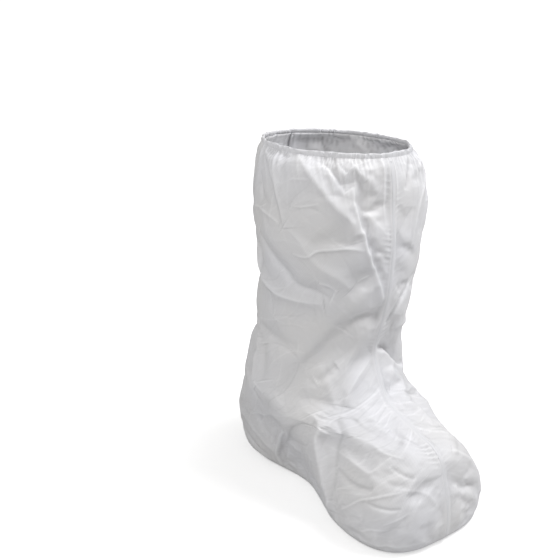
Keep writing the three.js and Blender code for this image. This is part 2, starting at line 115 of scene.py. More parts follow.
# Folds of the cloth, a row for each. line holds points (around, down): around is 0 at the back seam
# and 1 at the front seam, and down is 0 under the hem and 1 at the edge of the sole. On a line that
# runs down, ahead is the side towards the front seam, and on one that runs to the front seam it is
# the side above. depth is in millimetres, raised above 0 and sunk below it, and step is how much
# higher the cloth lies ahead of the line than behind it. behind and ahead are widths in millimetres.
# crisp is 0 for a round fold and 1 for a sharp crease.
FOLD_COLUMNS = ("line", "depth", "step", "behind", "ahead", "crisp")
RIGHT_FOLDS = (
    # the long slanting fold under the mouth, with the broad band in front of it
    (((0.575, 0.00), (0.622, 0.01), (0.66, 0.035), (0.69, 0.066), (0.736, 0.10), (0.784, 0.134),
      (0.831, 0.155), (0.851, 0.187)), 5.4, 2.0, 24, 20, 0.85),
    (((0.69, 0.01), (0.72, 0.02), (0.75, 0.03), (0.77, 0.05), (0.80, 0.08), (0.82, 0.10)),
     -3.6, 0, 5, 12, 0.4),
    (((0.52, 0.00), (0.56, 0.01), (0.60, 0.025)), -3.0, 0, 7, 5, 0.4),
    # the ridge from the mouth, and the long ridge below it that runs down to the shin
    (((0.80, 0.00), (0.82, 0.01), (0.845, 0.03), (0.87, 0.06), (0.89, 0.075)), 2.2, 0, 5, 7, 0.8),
    (((0.78, 0.01), (0.80, 0.03), (0.82, 0.055)), -2.2, 0, 5, 4, 0.6),
    (((0.845, 0.09), (0.85, 0.12), (0.86, 0.145), (0.885, 0.185), (0.905, 0.215), (0.94, 0.245),
      (0.985, 0.29)), 3.6, -2.0, 8, 5, 1.0),
    (((0.84, 0.08), (0.86, 0.16), (0.91, 0.23), (0.98, 0.30)), 3.0, 0, 24, 10, 0.2),
    # the fold behind it, down the calf
    (((0.36, 0.00), (0.44, 0.02), (0.50, 0.054), (0.555, 0.10), (0.59, 0.153), (0.60, 0.175)),
     3.6, 4.0, 9, 18, 0.8),
    (((0.30, 0.04), (0.38, 0.07), (0.44, 0.11), (0.48, 0.15)), -3.0, 2.0, 12, 10, 0.4),
    (((0.38, 0.16), (0.46, 0.158), (0.54, 0.162), (0.58, 0.17)), 2.0, 0, 8, 5, 0.9),
    # small creases on the side of the leg
    (((0.62, 0.081), (0.66, 0.078), (0.69, 0.076)), 0.9, 0, 3, 3, 1.0),
    (((0.64, 0.137), (0.68, 0.134), (0.73, 0.126)), 1.1, 0, 3, 3, 1.0),
    (((0.935, 0.00), (0.955, 0.014), (0.975, 0.028)), 1.1, 0, 3, 3, 1.0),
    (((0.865, 0.253), (0.88, 0.249), (0.905, 0.243)), 1.1, 0, 3, 3, 1.0),
    # across the middle of the leg
    (((0.63, 0.212), (0.68, 0.213), (0.72, 0.203), (0.77, 0.20), (0.83, 0.197), (0.875, 0.20)),
     2.2, 0.8, 4, 4, 1.0),
    (((0.43, 0.197), (0.507, 0.227), (0.581, 0.246), (0.635, 0.265), (0.709, 0.272), (0.77, 0.28)),
     -5.4, 0, 12, 18, 0.6),
    (((0.33, 0.205), (0.36, 0.25), (0.44, 0.278), (0.554, 0.289), (0.689, 0.292), (0.74, 0.29)),
     5.2, 0, 16, 14, 0.7),
    (((0.601, 0.171), (0.662, 0.189), (0.716, 0.224), (0.791, 0.245), (0.838, 0.264)), 4.0, 0, 18, 14, 0.6),
    (((0.72, 0.256), (0.755, 0.259), (0.79, 0.268)), 1.3, 0, 4, 5, 0.7),
    (((0.38, 0.22), (0.40, 0.25), (0.41, 0.29)), -3.6, 0, 9, 11, 0.4),
    # above and round the ankle
    (((0.84, 0.338), (0.88, 0.316), (0.925, 0.312), (0.97, 0.318), (0.995, 0.322)), -4.6, 0, 17, 19, 0.3),
    (((0.995, 0.405), (0.95, 0.43), (0.90, 0.455), (0.86, 0.49), (0.84, 0.54)), 3.8, 0, 20, 22, 0.8),
    (((0.745, 0.462), (0.79, 0.439), (0.83, 0.416)), -3.2, 0, 9, 9, 0.1),
    (((0.08, 0.35), (0.22, 0.39), (0.38, 0.41)), -5.0, 0, 14, 14, 0.1),
    (((0.40, 0.36), (0.52, 0.37), (0.66, 0.375)), -2.2, 0, 12, 12, 0.1),
    # heel
    (((0.47, 0.40), (0.50, 0.46), (0.515, 0.51)), -3.4, 0, 13, 15, 0.2),
    (((0.40, 0.40), (0.44, 0.48), (0.46, 0.57)), 3.4, 0, 13, 11, 0.4),
    (((0.47, 0.525), (0.49, 0.55), (0.505, 0.575)), 1.4, 0, 4, 4, 0.9),
    (((0.16, 0.81), (0.28, 0.815), (0.34, 0.832), (0.39, 0.858)), 2.2, 0, 8, 14, 0.8),
    (((0.10, 0.86), (0.20, 0.86), (0.30, 0.87), (0.36, 0.89)), -2.4, 0, 8, 8, 0.4),
    # arch
    (((0.716, 0.585), (0.66, 0.62), (0.60, 0.665), (0.53, 0.725), (0.465, 0.785), (0.42, 0.826),
      (0.412, 0.86), (0.412, 0.91), (0.42, 0.955)), -3.4, -2.0, 11, 34, 0.7),
    (((0.47, 0.76), (0.43, 0.795), (0.40, 0.84), (0.392, 0.87), (0.395, 0.91)), 4.4, 0, 9, 4, 0.7),
    (((0.705, 0.585), (0.665, 0.65), (0.628, 0.722), (0.632, 0.79), (0.65, 0.84), (0.655, 0.88)),
     6.4, 0, 22, 15, 0.8),
    (((0.775, 0.59), (0.73, 0.66), (0.69, 0.726), (0.672, 0.79), (0.662, 0.85)), -4.2, -1.0, 13, 20, 0.8),
    # instep
    (((0.76, 0.42), (0.80, 0.50), (0.80, 0.58), (0.77, 0.64)), 1.8, 0, 18, 14, 0.4),
    (((0.42, 0.44), (0.46, 0.52), (0.44, 0.62), (0.38, 0.72)), 2.0, 0, 12, 16, 0.3),
    (((0.925, 0.60), (0.95, 0.62), (0.97, 0.645), (0.98, 0.68)), -1.3, 0, 8, 7, 0.4),
    # toe
    (((0.65, 0.72), (0.69, 0.73), (0.73, 0.734), (0.765, 0.74), (0.80, 0.742), (0.83, 0.722), (0.87, 0.69)),
     2.2, 0, 14, 9, 0.8),
    (((0.68, 0.77), (0.73, 0.777), (0.77, 0.775), (0.81, 0.768)), -2.6, 0, 8, 7, 0.3),
    (((0.70, 0.853), (0.735, 0.825), (0.77, 0.80), (0.81, 0.785), (0.84, 0.775), (0.875, 0.766)),
     2.2, 0, 3, 3, 1.0),
    (((0.79, 0.797), (0.83, 0.80), (0.87, 0.798)), -1.6, 0, 4, 4, 0.5),
    (((0.83, 0.833), (0.86, 0.819), (0.89, 0.807)), 1.4, 0, 3, 3, 1.0),
    (((0.77, 0.875), (0.80, 0.853), (0.84, 0.846)), 1.2, 0, 3, 4, 1.0),
    (((0.675, 0.818), (0.70, 0.803), (0.73, 0.792)), 1.1, 0, 3, 3, 1.0),
    (((0.85, 0.683), (0.87, 0.686), (0.90, 0.692)), 1.2, 0, 3, 4, 1.0),
    (((0.86, 0.718), (0.885, 0.73), (0.91, 0.738)), -1.6, 0, 4, 5, 0.5),
    (((0.86, 0.76), (0.91, 0.765), (0.95, 0.785), (0.97, 0.82)), 1.4, 0, 6, 7, 0.8),
    (((0.72, 0.93), (0.82, 0.90), (0.93, 0.89)), 1.6, 0, 8, 8, 0.6),
)
LEFT_FOLDS = (
    # under the mouth
    (((0.86, 0.00), (0.885, 0.022), (0.91, 0.06), (0.94, 0.10)), -1.6, 5.0, 9, 9, 0.8),
    (((0.66, 0.00), (0.70, 0.02), (0.77, 0.04), (0.82, 0.065)), 3.0, 0, 9, 8, 0.5),
    (((0.62, 0.03), (0.68, 0.07), (0.76, 0.12), (0.84, 0.19)), -3.4, 3.0, 12, 9, 0.6),
    (((0.72, 0.05), (0.80, 0.10), (0.86, 0.14), (0.90, 0.21)), 2.6, 0, 13, 7, 0.7),
    (((0.28, 0.00), (0.34, 0.05), (0.42, 0.13), (0.46, 0.22)), -3.4, 4.0, 12, 11, 0.7),
    (((0.12, 0.02), (0.18, 0.08), (0.28, 0.17)), 3.0, 0, 12, 8, 0.7),
    (((0.46, 0.02), (0.52, 0.07), (0.55, 0.13)), 2.6, 0, 8, 9, 0.8),
    # down the leg
    (((0.20, 0.24), (0.34, 0.26), (0.50, 0.27), (0.66, 0.25)), 4.0, 0, 10, 13, 0.6),
    (((0.48, 0.16), (0.58, 0.19), (0.70, 0.20)), 2.4, 0, 6, 6, 1.0),
    (((0.62, 0.135), (0.70, 0.145), (0.80, 0.14)), 1.6, 0, 4, 4, 1.0),
    (((0.30, 0.31), (0.46, 0.32), (0.62, 0.31)), -4.0, 0, 13, 14, 0.2),
    # the flap over the ankle, and the deep fold between it and the instep
    (((0.80, 0.262), (0.858, 0.284), (0.912, 0.298), (0.946, 0.315), (0.97, 0.335)),
     -2.4, -6.0, 13, 9, 0.8),
    (((0.995, 0.383), (0.96, 0.390), (0.92, 0.401), (0.89, 0.428), (0.83, 0.458), (0.77, 0.47)),
     -8.5, 2.0, 14, 5, 0.5),
    (((0.74, 0.36), (0.84, 0.345), (0.93, 0.345)), 3.0, 0, 9, 11, 0.5),
    (((0.08, 0.35), (0.22, 0.38), (0.38, 0.41)), -5.0, 0, 14, 14, 0.1),
    (((0.30, 0.40), (0.46, 0.40), (0.62, 0.43)), -3.0, 0, 12, 12, 0.2),
    # instep and the side of the foot
    (((0.96, 0.505), (0.90, 0.53), (0.84, 0.553), (0.77, 0.575), (0.69, 0.61)), 2.4, -1.6, 13, 6, 0.8),
    (((0.60, 0.44), (0.52, 0.52), (0.46, 0.62)), 2.6, 0, 15, 12, 0.5),
    (((0.58, 0.66), (0.52, 0.72), (0.46, 0.80), (0.43, 0.88), (0.43, 0.95)), -8.5, -2.0, 9, 24, 0.5),
    (((0.40, 0.76), (0.37, 0.84), (0.37, 0.92)), 3.4, 0, 9, 5, 0.7),
    (((0.72, 0.62), (0.70, 0.74), (0.68, 0.86)), 2.8, 0, 14, 10, 0.8),
    (((0.08, 0.82), (0.20, 0.81), (0.34, 0.85)), 2.0, 0, 8, 12, 0.8),
    # toe
    (((0.955, 0.797), (0.925, 0.803), (0.89, 0.811), (0.86, 0.835)), -2.8, 0, 9, 8, 0.5),
    (((0.95, 0.70), (0.90, 0.74), (0.86, 0.79)), 2.4, 0, 10, 8, 0.7),
    (((0.93, 0.60), (0.905, 0.625), (0.86, 0.65)), -1.0, 0, 9, 9, 0.4),
    (((0.70, 0.86), (0.78, 0.82), (0.86, 0.86)), 1.8, 0, 4, 4, 1.0),
)

# The section of a fold: how fast it falls away from its line, in which power for a round and for a
# sharp one, how round a sharp one is on top, and how wide and how steep its step is
FOLD_FALL = 2.4
ROUND_POWER = 2
SHARP_LESS = 0.9
SHARP_RADIUS = 0.0008
STEP_WIDTH = 0.0022
ROUND_STEP_WIDER = 0.005
STEP_FALL = 1.6
STEP_POWER = 1.3
FOLD_END = 0.6              # below 1, a fold keeps its height to near its ends
FOLD_REACH = 2              # how many times its width a fold reaches from its line

# Gathers under the hem: waves round a panel, how far down they fade, how deep they are, and how far
# each set is shifted round.
GATHER_COLUMNS = ("waves", "fade", "depth", "shift")
GATHERS = (
    (4.3, 0.070, 0.0022, 0.10),
    (9.0, 0.038, 0.0013, 0.37),
    (17.0, 0.019, 0.0008, 0.71),
    (35.0, 0.010, 0.0005, 0.23),
)
GATHER_SLANT = 4.4          # how much gathers lean towards the front seam on their way down
GATHER_FALL = 1.5
GATHER_POWER = 1.5
GATHER_CRISP = 0.8          # below 1, their tops are sharp
GATHER_UNEVEN = 0.35        # how far their spacing wanders, in waves
WANDER_WAVES = 0.31         # how often it wanders, as a share of the waves
WANDER_SIDE = 0.4           # how much the two panels differ in it
LEAST_GATHER = 0.25         # share of the depth that is left where they are weakest
STRONG_WAVES = 1.7          # how often they are strong round a panel
STRONG_SHIFT = 3
STRONG_SIDE = 0.3
HEM_HOLD = 0.25             # share of the folds that is left right under the hem
HEM_HOLD_REACH = 0.012      # how far down the hem holds them

# Flat facets with creases between them, all over the cloth: their size, how high their corners
# lie on the leg and on the foot, and how far the pattern is turned, in degrees.
FACET_COLUMNS = ("size", "on_leg", "on_foot", "turned")
FACETS = (
    (0.056, 0.0030, 0.0026, 24),
    (0.027, 0.0011, 0.0013, -38),
    (0.013, 0.00025, 0.0005, 11),
    (0.007, 0.00006, 0.00018, 52),
)
FACET_TABLE = 64            # random heights repeat after this many facets
INSTEP_DOWN = 0.70          # where down a panel the leg's facets give way to the foot's
INSTEP_EASE = 0.05
FACET_SEED = 7
# How the facets' net is bent: waves by how far they push it, how fast they run across and along
# the net, and their shift
NET_WAVE_COLUMNS = ("push", "across", "along", "shift")
PUSHED_ACROSS = ((0.34, 0, 1.9, 0.7), (0.21, 3.7, 1.3, 0))
PUSHED_ALONG = ((0.31, 2.3, 0, 1.9), (0.23, -1.7, 3.1, 0))
FULL_SHADING_BEND = 300           # how sharply the cloth bends, in 1/m, where its painted crease shade or highlight is full
INNER_CREASE_SHADING = 1.5          # how much stronger the painted crease shade and highlight are on the inner face, turned over there as its ridges are valleys

# Puckers along the centre seam
PUCKER_PITCH = 0.0066
PUCKER_REACH = 0.0125
PUCKER_DEPTH = 0.0009
PUCKER_SLANT = 0.25         # how far a pucker climbs for its distance from the seam
PUCKER_CRISP = 0.7          # below 1, their tops are sharp
PUCKER_EASE = 0.02          # share down a panel over which they begin and end
PUCKER_SWELL = (0.55, 0.45, 0.0117, 1.7)  # their mean strength, its swing, its length, its shift
# How the puckers' spacing wanders: by how much, over what length, and shifted by how many seeds
WANDER_COLUMNS = ("much", "length", "shift")
PUCKER_WANDER = ((2.6, 0.031, 1.0), (2.0, 0.0133, 2.3))
BACK_SEAM_SEED = 1.3        # the two seeds make the puckers differ from seam to seam
FRONT_SEAM_SEED = 4.1
# Where the seam puckers, in shares down a panel, and how strongly on either side of it
PUCKER_COLUMNS = ("start", "end", "right", "left")
PUCKERS = (
    (0.05, 0.15, 0.35, 0.50),
    (0.17, 0.26, 0.70, 0.30),
    (0.66, 0.74, 0.90, 0.25),
    (0.32, 0.38, 0.40, 0.40),
    (0.00, 1.00, 0.05, 0.06),
)
SEAM_RIDGE = 0.0020         # how far the cloth rises to the seam
SEAM_RIDGE_WIDTH = 0.0052
SEAM_CLEAR = 0.008          # width beside the seam over which the folds fade out


def rows_of(columns, table):
    return [dict(zip(columns, row)) for row in table]


def smooth_at(values, place):
    """Values on the smooth curve through evenly spaced values, at places from 0 to the last index."""
    values = np.asarray(values, dtype=float)
    last = len(values) - 1
    index = np.clip(np.floor(place).astype(int), 0, last - 1)
    part = (place - index).reshape(place.shape + (1,) * (values.ndim - 1))
    before = values[np.maximum(index - 1, 0)]
    start = values[index]
    end = values[index + 1]
    after = values[np.minimum(index + 2, last)]
    square = part ** 2
    cube = part ** 3
    return (
        (2 * cube - 3 * square + 1) * start
        + (cube - 2 * square + part) * (end - before) / 2
        + (3 * square - 2 * cube) * end
        + (cube - square) * (after - start) / 2
    )


def smooth_step(value, low, high):
    share = np.clip((value - low) / (high - low), 0, 1)
    return share * share * (3 - 2 * share)


def run_along(line):
    """How far along a line each of its points is."""
    return np.concatenate([[0], np.cumsum(np.linalg.norm(np.diff(line, axis=0), axis=1))])


def section_sizes():
    """Every section's sizes in metres, a row for each, in the order of SECTION_COLUMNS."""
    leg = (LEG_SECTIONS, FOOT_HEIGHT, TOP_LEVEL - FOOT_HEIGHT, LEG_DEPTH, LEG_WIDTH)
    foot = (FOOT_SECTIONS, 0, FOOT_HEIGHT, FOOT_LENGTH, FOOT_WIDTH)
    sizes = []
    for table, base, height, depth, width in (leg, foot):
        for section in rows_of(SECTION_COLUMNS, table):
            level = base + section["level"] * height
            reaches = [section[name] * depth for name in REACHES]
            half_widths = [section[name] * width for name in HALF_WIDTHS]
            sizes.append([level, *reaches, *half_widths, section["blunt"]])
    return np.array(sizes)


SECTIONS = section_sizes()
LAST_SECTION = len(SECTIONS) - 1


def half_outline(place, columns):
    """One half of the outline at a place in the sections, in even steps from back to front."""
    level, front, back, rear, middle, fore, toe, blunt = (
        smooth_at(SECTIONS[:, column], np.array([place]))[0] for column in range(SECTIONS.shape[1])
    )
    turn = np.linspace(0, math.pi, OUTLINE_STEPS + 1)
    share = (1 - np.cos(turn)) / 2
    widths = [rear, rear, middle, fore, toe]
    half_width = smooth_at(widths, share * (len(widths) - 1)) * np.sin(turn).clip(0) ** blunt
    outline = np.column_stack([half_width, back - (back + front) * share])
    run = run_along(outline)
    even = np.linspace(0, run[-1], columns + 1)
    x = np.interp(even, run, outline[:, 0])
    y = np.interp(even, run, outline[:, 1])
    return np.column_stack([EDGE + x, y, np.full(columns + 1, level)])


def even_places():
    """Places in the sections whose rows lie about evenly spaced down the cloth."""
    places = np.linspace(0, LAST_SECTION, PLACE_STEPS * LAST_SECTION + 1)
    outlines = np.array([half_outline(place, PLACE_STEPS) for place in places])
    steps = np.linalg.norm(np.diff(outlines, axis=0), axis=2).max(axis=1)
    run = np.concatenate([[0], np.cumsum(steps)])
    return np.interp(np.linspace(0, run[-1], WALL_ROWS + 1), run, places)


PLACES = even_places()


def plain_form():
    """The smooth form of half the cover, rows from under the hem to the middle of the sole."""
    rows = [half_outline(place, COLUMNS) for place in PLACES]
    edge_row = rows[-1]
    middle = (edge_row[0, 1] + edge_row[-1, 1]) / 2
    for step in range(1, SOLE_ROWS + 1):
        inset = step / SOLE_ROWS
        ring = edge_row.copy()
        ring[:, 0] = EDGE + (ring[:, 0] - EDGE) * (1 - inset)
        ring[:, 1] = middle + (ring[:, 1] - middle) * (1 - SOLE_SHORTEN * inset)
        rows.append(ring)
    return np.array(rows)


PLAIN = plain_form()


def outward_of(grid, side):
    """The outward direction at each point of a panel's grid."""
    along = np.gradient(grid, axis=1)
    below = np.gradient(grid, axis=0)
    outward = np.cross(along, below) * side
    outward[0, :, 2] = 0
    outward[WALL_ROWS + 1:] = (0, 0, -1)
    outward[:, 0, 0] = 0
    outward[:, -1, 0] = 0
    length = np.linalg.norm(outward, axis=2, keepdims=True)
    return outward / np.maximum(length, LEAST_LENGTH)


OUTWARD = outward_of(PLAIN, LEFT)
AROUND = np.linspace(0, 1, COLUMNS + 1)
DOWN = np.concatenate([PLACES / LAST_SECTION, np.linspace(1, SOLE_DOWN, SOLE_ROWS + 1)[1:]])
STEP_AROUND = np.linalg.norm(np.diff(PLAIN, axis=1), axis=2)
STEP_DOWN = np.linalg.norm(np.diff(PLAIN, axis=0), axis=2)
RUN_AROUND = np.concatenate([np.zeros((len(PLAIN), 1)), np.cumsum(STEP_AROUND, axis=1)], axis=1)
RUN_DOWN = np.concatenate([np.zeros((1, COLUMNS + 1)), np.cumsum(STEP_DOWN, axis=0)], axis=0)
TO_SEAM = np.minimum(RUN_AROUND, RUN_AROUND[:, [-1]] - RUN_AROUND)
TO_FLOOR = PLAIN[:, :, 2]
TO_TOP = TOP_LEVEL - TO_FLOOR


def past(place, ease):
    """0 for the rows above a place down a panel and 1 for those below it, with an ease between."""
    return smooth_step(DOWN, place - ease, place + ease)


def plain_at(row, column):
    """Points of the plain form between its rows and columns."""
    top = np.clip(np.floor(row).astype(int), 0, WALL_ROWS - 1)
    left = np.clip(np.floor(column).astype(int), 0, COLUMNS - 1)
    lower = (row - top)[:, None]
    later = (column - left)[:, None]
    upper_points = PLAIN[top, left] * (1 - later) + PLAIN[top, left + 1] * later
    lower_points = PLAIN[top + 1, left] * (1 - later) + PLAIN[top + 1, left + 1] * later
    return upper_points * (1 - lower) + lower_points * lower


def drawn_line(points):
    """A fold's line as even points on the plain form, with their places in its rows and columns."""
    points = np.array(points)
    places = np.linspace(0, len(points) - 1, FOLD_STEPS + 1)
    around = smooth_at(points[:, 0], places).clip(0, 1)
    down = smooth_at(points[:, 1], places).clip(0, 1)
    row = np.interp(down, DOWN[:WALL_ROWS + 1], np.arange(WALL_ROWS + 1))
    column = around * COLUMNS
    return plain_at(row, column), row, column


def fold_height(fold):
    """How far a fold moves the cloth at each point of the grid."""
    drawn, rows, columns = drawn_line(fold["line"])
    reach = FOLD_REACH * max(fold["behind"], fold["ahead"]) / MM_PER_M
    low = drawn.min(axis=0) - reach
    high = drawn.max(axis=0) + reach
    near = ((PLAIN > low) & (PLAIN < high)).all(axis=2)
    near[WALL_ROWS + 1:] = False
    grid_rows, grid_columns = np.nonzero(near)
    points = PLAIN[grid_rows, grid_columns]
    starts = drawn[:-1]
    spans = np.diff(drawn, axis=0)
    along = ((points[:, None, :] - starts) * spans).sum(axis=2) / (spans ** 2).sum(axis=1)
    along = along.clip(0, 1)
    feet = starts + along[:, :, None] * spans
    apart = np.linalg.norm(points[:, None, :] - feet, axis=2)
    nearest = apart.argmin(axis=1)
    each = np.arange(len(points))
    distance = apart[each, nearest]
    place = nearest + along[each, nearest]
    steps = np.arange(FOLD_STEPS + 1)
    row_step = np.diff(rows)[nearest]
    column_step = np.diff(columns)[nearest]
    across = (
        row_step * (grid_columns - np.interp(place, steps, columns))
        - column_step * (grid_rows - np.interp(place, steps, rows))
    )
    side = np.where(across < 0, -1.0, 1.0)
    width = np.where(across < 0, fold["behind"], fold["ahead"]) / MM_PER_M
    power = ROUND_POWER - SHARP_LESS * fold["crisp"]
    softened = np.sqrt(distance ** 2 + (SHARP_RADIUS * fold["crisp"]) ** 2)
    profile = np.exp(-FOLD_FALL * (softened / width) ** power)
    step_width = STEP_WIDTH + ROUND_STEP_WIDER * (1 - fold["crisp"])
    step_fall = np.exp(-STEP_FALL * (distance / width) ** STEP_POWER)
    step = side * np.tanh(distance / step_width) * step_fall / 2
    ends = np.sin(math.pi * place / FOLD_STEPS).clip(0) ** FOLD_END
    height = np.zeros(PLAIN.shape[:2])
    height[grid_rows, grid_columns] = (fold["depth"] * profile + fold["step"] * step) / MM_PER_M * ends
    return height


def gather_height(side):
    """Gathers that start under the hem and fade out down the leg."""
    drop = TO_TOP.clip(0)
    full_turn = 2 * math.pi
    height = np.zeros(PLAIN.shape[:2])
    for gather in rows_of(GATHER_COLUMNS, GATHERS):
        waves = gather["waves"]
        shift = gather["shift"]
        fade = np.exp(-(drop / gather["fade"]) ** GATHER_POWER * GATHER_FALL)
        place = AROUND[None, :] - GATHER_SLANT * drop * (1 - AROUND[None, :]) * AROUND[None, :]
        wander = waves * WANDER_WAVES * place + shift + WANDER_SIDE * side
        uneven = GATHER_UNEVEN * np.sin(full_turn * wander)
        wave = np.sin(full_turn * (waves * place + uneven + shift * side))
        strong = STRONG_WAVES * AROUND + shift * STRONG_SHIFT + STRONG_SIDE * side
        here = LEAST_GATHER + (1 - LEAST_GATHER) * np.sin(full_turn * strong) ** 2
        height += gather["depth"] * fade * here * (1 - 2 * np.abs(wave) ** GATHER_CRISP)
    return height


def pushed(place, waves, across, along):
    """A place in the facets' net, pushed by the waves that bend it."""
    for wave in rows_of(NET_WAVE_COLUMNS, waves):
        turn = wave["across"] * across + wave["along"] * along + wave["shift"]
        place = place + wave["push"] * np.sin(turn)
    return place


def facet_height(side):
    """Flat facets of a few sizes: straight between random heights at the corners of a bent net."""
    total = np.zeros(PLAIN.shape[:2])
    draws = np.random.default_rng(FACET_SEED + side)
    foot_share = past(INSTEP_DOWN, INSTEP_EASE)[:, None]
    for facet in rows_of(FACET_COLUMNS, FACETS):
        heights = draws.uniform(-1, 1, (FACET_TABLE, FACET_TABLE))
        size = facet["size"]
        turned = math.radians(facet["turned"])
        across = (RUN_AROUND * math.cos(turned) + RUN_DOWN * math.sin(turned)) / size
        along = (RUN_DOWN * math.cos(turned) - RUN_AROUND * math.sin(turned)) / size
        bent_across = pushed(across, PUSHED_ACROSS, across, along)
        bent_along = pushed(along, PUSHED_ALONG, across, along)
        column = np.floor(bent_across).astype(int)
        row = np.floor(bent_along).astype(int)
        x = bent_across - column
        y = bent_along - row
        mirrored = (column + row) % 2 == 1
        x = np.where(mirrored, 1 - x, x)
        near = np.where(mirrored, column + 1, column)
        far = np.where(mirrored, column, column + 1)
        start = heights[row % FACET_TABLE, near % FACET_TABLE]
        beside = heights[row % FACET_TABLE, far % FACET_TABLE]
        below = heights[(row + 1) % FACET_TABLE, near % FACET_TABLE]
        corner = heights[(row + 1) % FACET_TABLE, far % FACET_TABLE]
        upper = start + x * (beside - start) + y * (corner - beside)
        lower = start + y * (below - start) + x * (corner - below)
        height = facet["on_leg"] * (1 - foot_share) + facet["on_foot"] * foot_share
        total += height * np.where(x > y, upper, lower)
    return total


def seam_wave(run, seed):
    """An uneven wave along the seam: its puckers."""
    wander = sum(
        wave["much"] * np.sin(run / wave["length"] + wave["shift"] * seed)
        for wave in rows_of(WANDER_COLUMNS, PUCKER_WANDER)
    )
    mean, swing, length, shift = PUCKER_SWELL
    strength = mean + swing * np.sin(run / length + shift * seed)
    wave = np.sin(math.pi * run / PUCKER_PITCH + wander / 2)
    return strength * (1 - 2 * np.abs(wave) ** PUCKER_CRISP)


def seam_height(side):
    """The cloth rises to the seam, and puckers run out from it on both sides."""
    height = np.zeros(PLAIN.shape[:2])
    for column, seed in ((0, BACK_SEAM_SEED), (COLUMNS, FRONT_SEAM_SEED)):
        away = np.abs(RUN_AROUND - RUN_AROUND[:, [column]])
        run = RUN_DOWN[:, [column]]
        beside = away / PUCKER_REACH
        own = seam_wave(run + PUCKER_SLANT * away, seed + side)
        strength = np.zeros(len(DOWN))
        for pucker in rows_of(PUCKER_COLUMNS, PUCKERS):
            starts = past(pucker["start"], PUCKER_EASE)
            ends = past(pucker["end"], PUCKER_EASE)
            strongest = pucker["right"] if side == RIGHT else pucker["left"]
            strength = np.maximum(strength, strongest * starts * (1 - ends))
        waves = own * np.exp(-beside ** 2) * smooth_step(away, 0, SEAM_RIDGE_WIDTH)
        height += PUCKER_DEPTH * strength[:, None] * waves
        height += SEAM_RIDGE * np.exp(-(away / SEAM_RIDGE_WIDTH) ** 2)
    return height


def panel_height(folds, side):
    """How far everything that moves the cloth moves it out from the plain form."""
    folded = sum(fold_height(fold) for fold in rows_of(FOLD_COLUMNS, folds))
    clear = smooth_step(TO_SEAM, 0, SEAM_CLEAR)
    above_sole = smooth_step(TO_FLOOR, 0, SOLE_RISE)
    under_hem = HEM_HOLD + (1 - HEM_HOLD) * smooth_step(TO_TOP, 0, HEM_HOLD_REACH)
    loose = (folded + facet_height(side)) * under_hem + gather_height(side)
    return (loose * clear + seam_height(side)) * above_sole


def panel_grid(height, side):
    """One face of a panel at a height over the plain form, in the frame's place."""
    grid = PLAIN + OUTWARD * height[:, :, None]
    grid[:, 0, 0] = EDGE
    grid[:, -1, 0] = EDGE
    grid[:, :, 0] = np.maximum(grid[:, :, 0], EDGE)
    grid[:, :, 0] *= side
    return in_place(grid)


# Settling of the cloth: it is cut a little larger than its place and buckles, held at its edges.
SETTLE_STEP = 4             # the settling cloth has one point for this many of the panel's
SETTLE_FRAMES = 34
SLACK = 0.048               # share by which the cloth is larger than its place
HELD_INSIDE = 0.02          # how strongly it is held to its form away from its edges
SETTLE_REACH = 0.0042       # the furthest that it moves, before its broad moves are left out
SETTLE_EASE = 0.03          # width along the edges over which the moves fade out
OUTLINE_KEPT = 7            # moves broader than so many points are left out, to keep the outline
# How the simulated cloth behaves, under the simulation's own names
SETTLE_CLOTH = {
    "quality": 6,
    "mass": 0.02,
    "tension_stiffness": 30,
    "compression_stiffness": 30,
    "shear_stiffness": 15,
    "bending_stiffness": 2.0,
    "air_damping": 3,
    "pin_stiffness": 1,
    "shrink_min": -SLACK,
}
SETTLE_GRAVITY = 0.3        # share of its weight that pulls on it


def blurred(values):
    """The values' broad swings: means over OUTLINE_KEPT points of a grid to each side."""
    for axis in (0, 1):
        padding = [(0, 0)] * values.ndim
        padding[axis] = (OUTLINE_KEPT, OUTLINE_KEPT)
        padded = np.pad(values, padding, mode="edge")
        run = np.cumsum(padded, axis=axis)
        count = values.shape[axis]
        later = np.take(run, range(2 * OUTLINE_KEPT, 2 * OUTLINE_KEPT + count), axis=axis)
        sooner = np.take(run, range(count), axis=axis)
        values = (later - sooner) / (2 * OUTLINE_KEPT)
    return values


def settled_cloth(coarse, side):
    """The points of a panel's coarse grid after its cloth has settled."""
    rows, columns = coarse.shape[:2]
    faces = grid_faces(rows, columns, flip=side == RIGHT)
    settling = new_object("settling cloth", coarse.reshape(-1, 3), faces)
    inside = np.zeros((rows, columns), dtype=bool)
    inside[1:-1, 1:-1] = True
    inside[WALL_ROWS // SETTLE_STEP - 1:] = False
    held = settling.vertex_groups.new(name="held")
    held.add(np.flatnonzero(~inside.ravel()).tolist(), 1, "REPLACE")
    held.add(np.flatnonzero(inside.ravel()).tolist(), HELD_INSIDE, "REPLACE")
    modifier = settling.modifiers.new("settling", "CLOTH")
    for name, value in SETTLE_CLOTH.items():
        setattr(modifier.settings, name, value)
    modifier.settings.vertex_group_mass = "held"
    modifier.settings.effector_weights.gravity = SETTLE_GRAVITY
    modifier.collision_settings.use_collision = False
    modifier.point_cache.frame_end = SETTLE_FRAMES
    for frame_number in range(1, SETTLE_FRAMES + 1):
        bpy.context.scene.frame_set(frame_number)
    settled = settling.evaluated_get(bpy.context.evaluated_depsgraph_get())
    points = np.empty(coarse.size)
    settled.data.vertices.foreach_get("co", points)
    bpy.data.objects.remove(settling)
    bpy.context.scene.frame_set(1)
    return points.reshape(coarse.shape)


